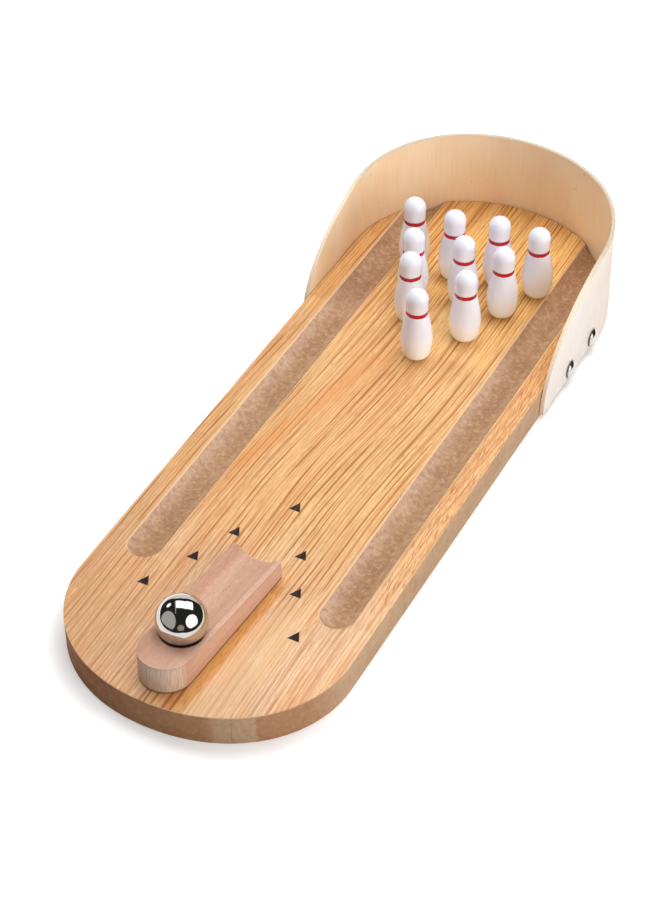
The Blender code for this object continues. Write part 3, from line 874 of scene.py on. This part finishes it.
def grain_lines(place, spacing, width, reach, gaps, seed):
    """Crisp lines along Y about so far apart, each coming and going over so long a reach, the more gaps the
    less: how strong each place of them is, how strong its line is, and its share of the way to the next."""
    moved = seeded(place, seed)
    across, along = parts(moved)[:2]
    drift = noise(moved, (LINE_DRIFT / spacing, LINE_WAVE, 0.0))
    phase = calc("ADD", times(across, 1 / spacing), times(drift, LINE_SWAY))
    share = calc("FRACT", phase)
    soft = LINE_SOFTNESS / spacing
    half = width / 2 / spacing
    number = times(calc("FLOOR", phase), 5.3)
    own = vector(number, times(along, 1 / reach), 0.0)
    strength = step(noise(own, (1.0, 1.0, 0.0), 1.0), gaps, gaps + 0.2)
    line = times(step(apart(share, 0.5), half + soft, half - soft), strength)
    return line, strength, share


def oak_grain(finish):
    """Lays sawn oak with its grain along Y, and gives how far each place is a dark line of pores."""
    lean = step(finish.along, *FIGURE_LEAN_SPAN, 0.0, -FIGURE_LEAN)
    bent = shift(finish.place, vector(lean, 0.0, 0.0))
    for factors, reach in FIGURE_WAVES:
        bent = wobble(bent, factors, reach)
    finish.shade(finish.along, *OAK_FRONT_SPAN, (226, 190, 153))
    # Warmer and brighter towards the rear: partly the laminate's own tone, partly painted light that lifts
    # the shade of the band and pins
    finish.shade(finish.along, *OAK_REAR_TONE_AND_LIGHT_SPAN, (255, 208, 124))
    finish.shade(finish.across, *OAK_LEFT_SPAN, (216, 162, 112), 0.50)
    finish.shade(finish.across, *STRIP_SPAN, (220, 160, 104), 0.30)
    for *pattern, tone in OAK_STREAKS:
        finish.tint(streaks(bent, *pattern), tone)
    finish.tint(grain_lines(bent, *FAINT_LINES)[0], (190, 122, 66), 0.55)
    strong, strength, share = grain_lines(bent, *STRONG_LINES)
    flush = times(step(share, 0.05, 0.5), step(share, 0.58, 0.5), strength)
    finish.tint(flush, (220, 148, 82), 0.35)
    strong = times(strong, step(finish.along, *LINES_SPAN, 0.55, 0.90))
    strong = times(strong, step(finish.across, *STRIP_LINES_SPAN, 1.0, 0.35))
    finish.tint(strong, (168, 102, 42))
    pores = times(streaks(bent, *PORES), streaks(bent, *PORE_PATCHES))
    finish.tint(pores, (160, 98, 52), 0.45)
    slanted = shift(finish.place, vector(times(finish.along, STRIP_FLECKS_LEAN), 0.0, 0.0))
    flecked = times(step(finish.across, *STRIP_SPAN), step(finish.along, *STRIP_FLECKS_SPAN))
    finish.tint(times(streaks(slanted, *STRIP_FLECKS), flecked), (186, 108, 54))
    return highest(strong, pores)


def broad_streak(finish, start, end, half_width, fade):
    """One broad streak on the laminate between two of its points, from 0 to 1."""
    lean = (end[0] - start[0]) / (end[1] - start[1])
    middle = calc("ADD", times(finish.along, lean), start[0] - lean * start[1])
    rough = step(noise(finish.place, (1.0, 0.03, 0.0)), 0.3, 0.7, -1.0, 1.0)
    ragged = calc("ADD", apart(finish.across, middle), rough)
    body = step(ragged, half_width + STREAK_SOFTNESS, half_width - STREAK_SOFTNESS)
    near = step(finish.along, start[1] - fade, start[1] + fade)
    far = step(finish.along, end[1] + fade, end[1] - fade)
    return times(near, far, body)


def foot_lines(finish):
    """Dark lines on the laminate that come out from under the ramp's round end, and the red band
    between the last two, each from 0 to 1."""
    across, along = parts(wobble(finish.place, (0.3, 0.08, 0.0), (0.5, 0.0, 0.0)))[:2]
    near = step(along, *FOOT_SPAN)
    shares = []
    for x, half_width in FOOT_LINES + (FOOT_BAND,):
        shares.append(step(apart(across, x), half_width + 0.25, half_width - 0.10))
    *lines, band = shares
    return times(highest(*lines), near), times(band, near)


def aim_marks(finish):
    """The seven printed triangles, from 0 to 1. The lane's two halves are folded together first."""
    across, along = parts(wobble(finish.place, (1.6, 1.6, 0.0), (0.35, 0.35, 0.0)))[:2]
    folded = apart(across, MARK_MIDDLE)
    slope = MARK_HALF_WIDTH / MARK_HEIGHT
    marks = []
    for x, y in MARK_PLACES:
        from_tip = calc("SUBTRACT", along, y + MARK_TIP)
        side = calc("ADD", apart(folded, x), times(from_tip, slope))
        foot = calc("SUBTRACT", y + MARK_TIP - MARK_HEIGHT, along)
        marks.append(step(highest(side, foot), MARK_EDGE, -MARK_EDGE))
    return highest(*marks)


def from_gutter(finish):
    """How far a place of the deck is outside the nearer gutter, in millimetres."""
    beside = calc("SUBTRACT", calc("ABSOLUTE", finish.across), GUTTER_X * MM)
    before = highest(calc("SUBTRACT", GUTTER_NOSE_Y * MM, finish.along), 0.0)
    return calc("SUBTRACT", size_of(vector(beside, before, 0.0)), GUTTER_HALF_WIDTH * MM)


def across_gutter(finish):
    """How far a place is to the right of the nearer gutter's middle, in millimetres."""
    middle = GUTTER_X * MM
    moved = calc("ADD", finish.across, middle)
    return add("Math", {0: moved, 1: middle, 2: -middle}, operation="WRAP").outputs[0]


def oak_material():
    """Oak-grained laminate, paler where it is cut through, with a painted highlight on the cut edges that
    face the lamp, chipped along the gutters and printed with the aiming marks."""
    finish = Finish("oak_laminate_finish", (235, 190, 129))
    pores = oak_grain(finish)
    finish.tint(broad_streak(finish, *CALM_STREAK), (236, 194, 146), 0.42)
    beside_ramp = broad_streak(finish, *RAMP_STREAK)
    finish.tint(beside_ramp, (214, 152, 74), 0.75)
    finish.tint(times(streaks(finish.place, *RAMP_DASHES), beside_ramp), (176, 104, 40))
    finish.tint(broad_streak(finish, *FOOT_STREAK), (208, 146, 72), 0.50)
    lines, band = foot_lines(finish)
    finish.tint(band, (196, 112, 46), 0.60)
    finish.tint(lines, (138, 78, 32), 0.75)
    finish.tint(broad_streak(finish, *LANE_STREAK), (222, 142, 76), 0.40)
    chips = times(noise(finish.place, (1.8, 0.9, 0.0), 2.0, 0.6), CHIP_REACH)
    chipped = step(calc("SUBTRACT", from_gutter(finish), chips), -0.40, -0.50)
    in_lane = step(finish.along, *CHIPS_SPAN)
    finish.tint(times(chipped, in_lane), (232, 202, 166), 0.6)
    # The cut edges are paler: the laminate's pale core, with a painted highlight that is full on the side of
    # each gutter facing the lamp and about a third as strong on the other side
    painted_edge_highlight = step(across_gutter(finish), 2.0, -2.0, 0.35, 1.0)
    finish.tint(times(step(finish.normal_z(), 0.95, 0.80), painted_edge_highlight), (226, 192, 154))
    marks = aim_marks(finish)
    finish.tint(times(marks, step(pores, 0.0, 1.0, 1.0, 0.92)), (32, 24, 20))
    grained = step(pores, 0.0, 1.0, 0.36, 0.55)
    finish.drive("Roughness", highest(grained, times(marks, 0.85)))
    return finish.done(step(pores, 0.0, 1.0, 1.0, 0.0), 0.03)


def fibreboard_material():
    """Raw fibreboard: pale and speckled in the routed gutters, with painted light and shade on their walls,
    smoother underneath, and browner on the sawn edge, with painted shade towards its left and painted light
    on its right side;
    the edge's front has a paler patch with a seam."""
    finish = Finish("fibreboard_finish", (158, 92, 46))
    patches = noise(finish.place, (0.045, 0.045, 0.10), 3.0, 0.6)
    # Painted shade and light on the sawn edge: darker towards the left, and paler on the right side, which
    # faces the lamp
    finish.shade(finish.across, *EDGE_PAINTED_SHADE_SPAN, (184, 132, 91))
    finish.shade(finish.across, *EDGE_PAINTED_LIGHT_SPAN, (204, 168, 134))
    finish.shade(patches, 0.42, 0.60, (186, 142, 104), 0.35)
    front = step(finish.along, *EDGE_FRONT_SPAN)
    ragged = calc("ADD", finish.across, times(noise(finish.place, (0.3, 0.3, 0.5)), 3.0))
    near, far = PALE_PATCH
    patch = times(step(ragged, near - 3.0, near + 3.0), step(ragged, far + 1.0, far))
    finish.tint(times(patch, front), (202, 168, 135), 0.85)
    seam = step(apart(finish.across, SEAM_X), *SEAM_SPAN)
    finish.tint(times(seam, front), (128, 90, 60), 0.35)
    facing = finish.normal_z()
    finish.shade(facing, -0.6, -0.9, (190, 146, 108))
    sawn = finish.colour
    finish.colour = rgb(165, 125, 91)
    finish.shade(patches, 0.35, 0.65, (181, 142, 108))
    # Painted light and shade in the gutters: paler on each left wall, which faces the lamp, fading out
    # towards the band's shade; paler on the right wall; darker along the bottom
    off = across_gutter(finish)
    painted_wall_light = times(step(off, *PAINTED_WALL_LIGHT_SPAN, 0.0, 0.45), step(finish.along, *PAINTED_WALL_LIGHT_FADE_SPAN))
    finish.tint(painted_wall_light, (216, 182, 160))
    finish.shade(off, *PAINTED_RIGHT_WALL_LIGHT_SPAN, (206, 166, 124), 0.30)
    finish.shade(apart(off, PAINTED_GUTTER_SHADE_MIDDLE), *PAINTED_GUTTER_SHADE_SPAN, (158, 112, 70), 0.22)
    cut = step(facing, 0.45, 0.25)
    finish.colour = mix(cut, finish.colour, sawn)
    contrast = step(cut, 0.0, 1.0, 1.0, 0.45)
    mottle = noise(finish.place, (0.55, 0.55, 0.55), 3.0, 0.65)
    speck = noise(finish.place, (1.6, 1.6, 1.6), 2.0, 0.7)
    for pattern, low, high, strength, tone in (
            (mottle, 0.48, 0.66, 0.42, (144, 103, 72)), (mottle, 0.48, 0.34, 0.38, (212, 178, 144)),
            (speck, 0.56, 0.68, 0.30, (216, 184, 150)), (speck, 0.44, 0.32, 0.30, (126, 88, 60))):
        finish.tint(step(pattern, low, high, 0.0, strength), tone, contrast)
    finish.roughen(mottle, 0.30, 0.70, 0.78, 0.92)
    return finish.done(speck, 0.10)


def birch_material(name, light, dark, end):
    """A face of the bent strip, with upright fibre, so that it bends, a few flecks, and its tone towards
    the right end, which on the outside face is painted light."""
    finish = Finish(name, light, uv_map="grain")
    finish.shade(noise(finish.place, (0.06, 0.03, 0.0)), 0.35, 0.65, dark)
    finish.shade(parts(finish.place)[0], *BAND_END_SPAN, end)
    fibre = noise(finish.place, (1.5, 0.05, 0.0), 3.0, 0.6)
    finish.shade(fibre, 0.40, 0.75, (214, 174, 132), 0.16)
    finish.shade(noise(finish.place, (0.9, 0.45, 0.0), 0.0), 0.82, 0.86, (186, 134, 98), 0.45)
    finish.roughen(fibre, 0.30, 0.70, 0.44, 0.56)
    return finish.done(fibre, 0.03)


def birch_edge_material():
    """The strip's sanded edge, paler down its sloping ends than along its level top."""
    finish = Finish("birch_edge", (250, 230, 204))
    fibre = step(noise(finish.place, (1.2, 1.2, 1.2), 3.0, 0.6), 0.35, 0.70)
    finish.tint(fibre, (243, 219, 190))
    level = mix(fibre, rgb(214, 197, 172), rgb(198, 180, 154))
    finish.colour = mix(step(finish.up, *BAND_TOP_SPAN), finish.colour, level)
    finish.roughen(fibre, 0.0, 1.0, 0.54, 0.66)
    return finish.done(fibre, 0.05)


def ramp_skin(value, reach):
    """1 in the ramp's outermost wood, where a distance in millimetres comes close to its reach in metres."""
    start, full = RAMP_END_SKIN
    return step(value, reach * MM - start, reach * MM - full)


def beech_material():
    """Sanded beech: fine lines and short flecks along the ramp and upright streaks on its two ends, with
    painted shade on its left side, near the ball, on its rounded edges, round the ball's seat and as a dark
    foot where it meets the lane, and on its ends painted shade on the left and painted light on the right."""
    finish = Finish("beech_finish", (210, 167, 144))
    bent = wobble(finish.place, (0.05, 0.02, 0.05), (2.0, 0.0, 2.0))
    finish.shade(noise(bent, (0.15, 0.02, 0.15)), 0.35, 0.65, (200, 155, 131))
    # Painted shade on the ramp's left side, its left land and the groove's left wall
    finish.shade(finish.across, *RAMP_LEFT_SHADE_SPAN, (186, 138, 112), 0.7)
    fine = noise(bent, (1.8, 0.05, 1.8), 3.0, 0.6)
    finish.shade(fine, 0.42, 0.75, (184, 136, 112), 0.4)
    fleck = noise(finish.place, (2.6, 0.55, 2.6), 2.0, 0.6)
    finish.shade(fleck, 0.58, 0.70, (170, 118, 94), 0.5)
    finish.shade(fleck, 0.42, 0.30, (232, 196, 172), 0.4)
    # Painted shade on the near part of the ramp, round the ball
    finish.shade(finish.along, *RAMP_BALL_SHADE_SPAN, (182, 132, 108), 0.35)
    wall = ramp_skin(size_of(vector(finish.across, finish.along, 0.0)), RAMP_HALF_WIDTH)
    near_end = times(wall, step(finish.along, *RAMP_ROUND_SPAN))
    ends = highest(near_end, ramp_skin(finish.along, RAMP_EXIT_REACH))
    streak = noise(finish.place, (2.4, 2.4, 0.15), 2.0, 0.6)
    # The end grain is darker on the left and paler on the right: painted shade and painted light, as lamps
    # from the right would give
    grain = mix(step(finish.across, *RAMP_END_SHADE_SPAN), rgb(178, 138, 112), rgb(224, 198, 174))
    grain = mix(step(streak, 0.40, 0.68, 0.0, 0.6), grain, rgb(174, 138, 112))
    finish.colour = mix(times(ends, 0.85), finish.colour, grain)
    # Painted shadow: a dark foot along the bottom edge where the ramp meets the lane
    finish.shade(finish.up, *RAMP_FOOT_SHADOW_SPAN, (100, 56, 30), 0.80)
    facing = finish.normal_z()
    # Painted shade on the rounded edges, in place of the light they would catch
    painted_edge_shade = times(step(facing, 0.08, 0.20), step(facing, 0.63, 0.50))
    finish.tint(painted_edge_shade, (138, 98, 76), 0.65)
    # Painted shadow: the wood darkens round the ball's seat, close to the ball
    seat = ramp_matrix().inverted() @ BALL_PLACE * MM
    from_ball = add("VectorMath", {0: finish.place, 1: tuple(seat)}, operation="DISTANCE").outputs["Value"]
    seat_shadow_start, seat_shadow_full = (BALL_RADIUS * MM + reach for reach in SEAT_SHADOW_REACH)
    finish.shade(from_ball, seat_shadow_start, seat_shadow_full, (70, 36, 20), 0.75)
    finish.roughen(fine, 0.30, 0.70, 0.44, 0.56)
    return finish.done(fine, 0.03)


def white_paint_material():
    """Gloss white paint over turned wood, whiter towards the foot as painted light, with a red ring round
    the neck whose edges wave a little.
    """
    finish = Finish("white_paint_finish", (244, 244, 252))
    tone = noise(finish.place, (0.25, 0.25, 0.12))
    finish.shade(tone, 0.3, 0.7, (240, 239, 249))
    # Painted light: the paint is whiter towards the foot, against the warm light thrown up by the lane
    finish.shade(finish.up, *PIN_FOOT_LIGHT_SPAN, (254, 255, 255))
    wave = times(noise(finish.place, (0.5, 0.5, 0.1), 1.0), PIN_RING_WAVE)
    off = apart(calc("ADD", finish.up, wave), PIN_RING_HEIGHT)
    outer, inner = (PIN_RING_WIDTH / 2 * MM + softness for softness in PIN_RING_SOFTNESS)
    red = mix(step(off, *PIN_RING_RIM_SPAN), rgb(202, 8, 38), rgb(150, 8, 27))
    finish.colour = mix(step(off, outer, inner), finish.colour, red)
    finish.roughen(tone, 0.3, 0.7, 0.19, 0.25)
    return finish.done(noise(finish.place, (0.8, 0.8, 0.5)), 0.03)


def metal(name, density, detail, tones):
    """A metal with a faint haze, so many patches a millimetre, from one tone to another."""
    finish = Finish(name, tones[0], metallic=1.0)
    haze = noise(finish.place, (density, density, density), detail)
    finish.tint(haze, tones[1])
    return finish, haze


def chrome_material():
    finish, haze = metal("chrome_finish", 1.5, 3.0, ((196, 192, 190), (217, 214, 211)))
    # Painted shadow: a dark ring round the rim of each nail head, where it meets the band
    rim = step(finish.up, *NAIL_RIM_SHADOW_SPAN)
    finish.tint(rim, (84, 78, 76), 0.8)
    finish.roughen(haze, 0.3, 0.7, 0.08, 0.16)
    return finish.done(haze, 0.002)


def steel_material():
    finish, haze = metal("polished_steel_finish", 0.6, 4.0, ((194, 190, 186), (206, 202, 197)))
    finish.roughen(haze, 0.35, 0.75, 0.04, 0.09)
    return finish.done(haze, 0.002)


def zinc_material():
    finish, spangle = metal("zinc_finish", 2.0, 3.0, ((176, 178, 184), (206, 208, 212)))
    finish.roughen(spangle, 0.3, 0.7, 0.24, 0.4)
    return finish.done(spangle, 0.008)


# Camera, lamps and studio


def make_camera():
    azimuth = math.radians(CAMERA_AZIMUTH)
    elevation = math.radians(CAMERA_ELEVATION)
    turn = Matrix.Rotation(azimuth, 4, "Z") @ Matrix.Rotation(math.pi / 2 - elevation, 4, "X")
    roll = Matrix.Rotation(math.radians(CAMERA_ROLL), 4, "Z")
    camera = add_object("camera", bpy.data.cameras.new("camera"))
    camera.matrix_world = Matrix.Translation(CAMERA_PLACE) @ turn @ roll
    camera.data.sensor_fit = "AUTO"
    camera.data.sensor_width = 36.0
    camera.data.lens = CAMERA_LENS
    camera.data.clip_start = 0.01
    bpy.context.scene.camera = camera


def direction(azimuth, elevation):
    """The direction from the game towards an azimuth and elevation, in degrees."""
    a = math.radians(azimuth)
    e = math.radians(elevation)
    return Vector((math.sin(a) * math.cos(e), -math.cos(a) * math.cos(e), math.sin(e)))


def make_lamp(name, azimuth, elevation, size, level):
    """A soft square lamp that lights a surface facing it at about the level given."""
    lamp = bpy.data.lights.new(name, "AREA")
    lamp.shape = "SQUARE"
    lamp.size = size
    lamp.energy = level * math.pi * LAMP_DISTANCE ** 2 * math.pi
    thing = add_object(name, lamp)
    towards = direction(azimuth, elevation)
    thing.location = towards * LAMP_DISTANCE
    thing.rotation_euler = towards.to_track_quat("Z", "Y").to_euler()
    thing.visible_camera = False
    thing.visible_glossy = False


def backdrop_factor(tree):
    """1 for the rays that see the white studio, and 0 for those that only carry its light."""
    rays = add_node(tree, "LightPath", {}).outputs
    return highest(rays["Is Camera Ray"], rays["Is Glossy Ray"], rays["Is Transmission Ray"])


def backdrop_colour(factor, grey):
    """White for the rays that see the studio, and a grey for those that only carry its light."""
    return mix(factor, (grey, grey, grey, 1.0), WHITE)


def make_world():
    world = bpy.data.worlds.new("studio")
    world.use_nodes = True
    bpy.context.scene.world = world
    tree = world.node_tree
    background = tree.nodes["Background"]
    tree.links.new(backdrop_colour(backdrop_factor(tree), WORLD_GREY), background.inputs["Color"])
    background.inputs["Strength"].default_value = 1.0


def floor_material():
    """White to look at, grey to the light that it throws back, and glowing a little further off."""
    material = bpy.data.materials.new("white_floor")
    material.use_nodes = True
    tree = material.node_tree
    sockets = tree.nodes["Principled BSDF"].inputs
    sockets["Roughness"].default_value = 1.0
    sockets["Specular IOR Level"].default_value = 0.0
    sockets["Emission Color"].default_value = WHITE
    factor = backdrop_factor(tree)
    tree.links.new(backdrop_colour(factor, FLOOR_GREY), sockets["Base Color"])
    away = size_of(add_node(tree, "TexCoord", {}).outputs["Object"])
    level = add("MapRange", dict(enumerate((away,) + FLOOR_GLOW))).outputs[0]
    tree.links.new(times(factor, level), sockets["Emission Strength"])
    return material


def make_sheet(name, points, faces, material):
    mesh = bpy.data.meshes.new(name)
    mesh.from_pydata(points, [], faces)
    mesh.materials.append(material)
    sheet = add_object(name, mesh)
    return sheet


def make_floor():
    corners = [(x * FLOOR_HALF, y * FLOOR_HALF, 0.0) for x, y in ((-1, -1), (1, -1), (1, 1), (-1, 1))]
    make_sheet("floor", corners, [(0, 1, 2, 3)], floor_material())


def plain_light_material(name, colour, strength):
    material = bpy.data.materials.new(name)
    material.use_nodes = True
    tree = material.node_tree
    tree.nodes.clear()
    light = add_node(tree, "Emission", {"Color": colour, "Strength": strength})
    add("OutputMaterial", {"Surface": light.outputs[0]})
    return material


def make_gloss_sheet(name, points, faces, material):
    """A sheet that only glossy surfaces see."""
    sheet = make_sheet(name, points, faces, material)
    for kind in ("camera", "diffuse", "transmission", "shadow", "volume_scatter"):
        setattr(sheet, "visible_" + kind, False)


def make_card(name, points, colour, strength):
    faces = [tuple(range(len(points)))]
    make_gloss_sheet(name, points, faces, plain_light_material(name, colour, strength))


def round_card(azimuth, elevation, half_angle, distance):
    """The rim of a disc that faces the ball, at an angle and so many degrees wide on each side."""
    towards = direction(azimuth, elevation)
    turn = towards.to_track_quat("Z", "Y")
    radius = distance * math.tan(math.radians(half_angle))
    angles = [math.tau * i / CARD_STEPS for i in range(CARD_STEPS)]
    centre = BALL_PLACE + towards * distance
    return [centre + turn @ Vector((radius * math.cos(a), radius * math.sin(a), 0.0)) for a in angles]


def level_card(corners, height):
    """The corners of a level card over the ball, each in the direction given."""
    points = []
    for azimuth, elevation in corners:
        towards = direction(azimuth, elevation)
        points.append(BALL_PLACE + towards * (height / towards.z))
    return points


def dark_dome():
    """The points and faces of a dome that reaches down to the top of the white backdrop."""
    azimuths, low_edges = zip(*BACKDROP_TOP)
    points, faces = [], []
    for i in range(DOME_COLUMNS + 1):
        azimuth = 360.0 * i / DOME_COLUMNS - 180.0
        low = np.interp(azimuth, azimuths, low_edges)
        for k in range(DOME_ROWS + 1):
            points.append(direction(azimuth, low + (90.0 - low) * k / DOME_ROWS) * DOME_RADIUS)
    for i in range(DOME_COLUMNS):
        for k in range(DOME_ROWS):
            corner = i * (DOME_ROWS + 1) + k
            faces.append((corner, corner + 1, corner + DOME_ROWS + 2, corner + DOME_ROWS + 1))
    return points, faces


def make_dark_studio():
    """The dark room over and in front of the white backdrop, and what lies past the white table's end."""
    material = plain_light_material("dark_studio", DARK, 1.0)
    make_gloss_sheet("dark_room", *dark_dome(), material)
    for name, corners in (("dark_front", TABLE_END), ("dark_side", TABLE_SIDE)):
        points = [(x, y, TABLE_Z) for x, y in corners]
        make_gloss_sheet(name, points, [tuple(range(len(points)))], material)


def make_studio():
    make_camera()
    make_world()
    make_floor()
    for name, lamp in LAMPS.items():
        make_lamp(name, *lamp)
    make_dark_studio()
    for name, (corners, height, strength) in LEVEL_CARDS.items():
        make_card(name, level_card(corners, height), WHITE, strength)
    for name, (*place, colour, strength) in ROUND_CARDS.items():
        make_card(name, round_card(*place), colour, strength)


def main():
    make_board()
    make_laminate()
    make_band()
    make_nails()
    make_ramp()
    make_screw()
    make_ball()
    make_pins()
    make_studio()
    bpy.context.scene.view_settings.view_transform = "Standard"


main()
